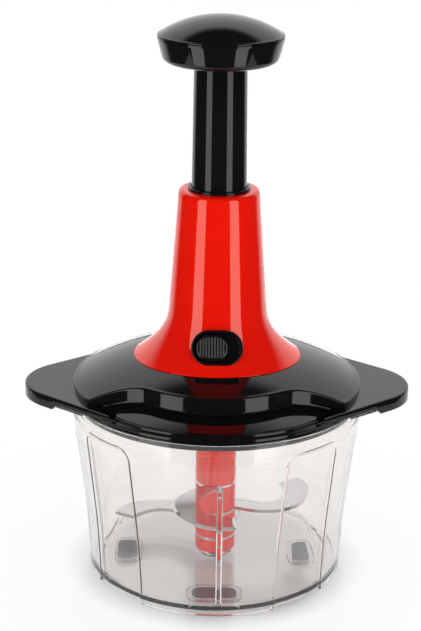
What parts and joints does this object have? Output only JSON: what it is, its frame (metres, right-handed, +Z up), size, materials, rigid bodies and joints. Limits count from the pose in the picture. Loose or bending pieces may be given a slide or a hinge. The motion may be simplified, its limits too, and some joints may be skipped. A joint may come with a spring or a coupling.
{
  "type": "plunger food chopper",
  "caption": "Clear round bowl with a stacked blade column, closed by a domed eared lid whose flared tower guides a spring-returned plunger with a palm knob and a side-sliding lock.",
  "frame": {"origin": "table plane under the middle of the bowl", "axes": "+Z up along the plunger, X through the two ears, -Y towards the lock slider and the picture's camera"},
  "size_m": [0.202, 0.1528, 0.296],
  "materials": {
    "clear_plastic": "clear polished, see-through",
    "black_plastic": "high gloss",
    "red_plastic": "high gloss",
    "black_matte": "satin",
    "white_plastic": "satin",
    "grey_rubber": "matt",
    "black_rubber": "matt",
    "steel": "fine brushed",
    "spring_steel": "drawn wire and sheet",
    "brass": "plain turned"
  },
  "bodies": {
    "bowl": {"bowl": "clear_plastic", "pivot_pin": "steel", "foot_pad_front": "grey_rubber", "foot_pad_back": "grey_rubber", "foot_pad_left": "grey_rubber", "foot_pad_right": "grey_rubber"},
    "lid": {"lid": "black_plastic", "lid_inner_plate": "white_plastic", "lid_seal": "black_rubber", "tower": "red_plastic", "guide_bush": "black_plastic", "bearing_housing": "white_plastic", "bearing_bush": "brass", "thrust_washer": "steel", "return_spring": "spring_steel", "lid_screws": "steel", "housing_screws": "steel", "tower_screws": "steel", "lock_frame": "black_plastic", "lock_detent_spring": "spring_steel"},
    "plunger": {"plunger_tube": "black_plastic", "nut_carrier": "white_plastic", "drive_nut": "white_plastic", "knob_body": "black_plastic", "knob_cap": "black_plastic", "knob_screw": "steel"},
    "spindle": {"spindle_strip": "steel", "drive_hub": "white_plastic"},
    "lock": {"lock_slider": "black_plastic", "lock_tongue": "black_matte"},
    "blades": {"blade_upper": "steel", "blade_middle": "steel", "blade_lower": "steel", "column_upper": "red_plastic", "column_spacer_upper": "red_plastic", "column_spacer_lower": "red_plastic", "column_foot": "red_plastic", "column_sleeve": "steel", "pivot_bush_lower": "white_plastic", "pivot_bush_upper": "white_plastic", "drive_socket": "white_plastic"}
  },
  "joints": [
    {"name": "lid_lift", "type": "slide", "parent": "bowl", "child": "lid", "axis": [0, 0, 1], "range_m": [0, 0.06]},
    {"name": "plunger_press", "type": "slide", "parent": "lid", "child": "plunger", "axis": [0, 0, -1], "range_m": [0, 0.06], "stiffness_N_per_m": 180, "deforming": ["return_spring"]},
    {"name": "spindle_turn", "type": "hinge", "parent": "lid", "child": "spindle", "pos_m": [0, 0, 0.1], "axis": [0, 0, 1], "range_deg": [0, 361]},
    {"name": "blade_spin", "type": "hinge", "parent": "bowl", "child": "blades", "pos_m": [0, 0, 0.02], "axis": [0, 0, 1], "range_deg": [0, 361]},
    {"name": "lock_slide", "type": "slide", "parent": "lid", "child": "lock", "axis": [1, 0, 0], "range_m": [0, 0.0052]}
  ],
  "couplings": [
    {"joint": "spindle_turn", "follows": "plunger_press", "rad_per_m": 104.72},
    {"joint": "blade_spin", "follows": "plunger_press", "rad_per_m": 104.72}
  ]
}
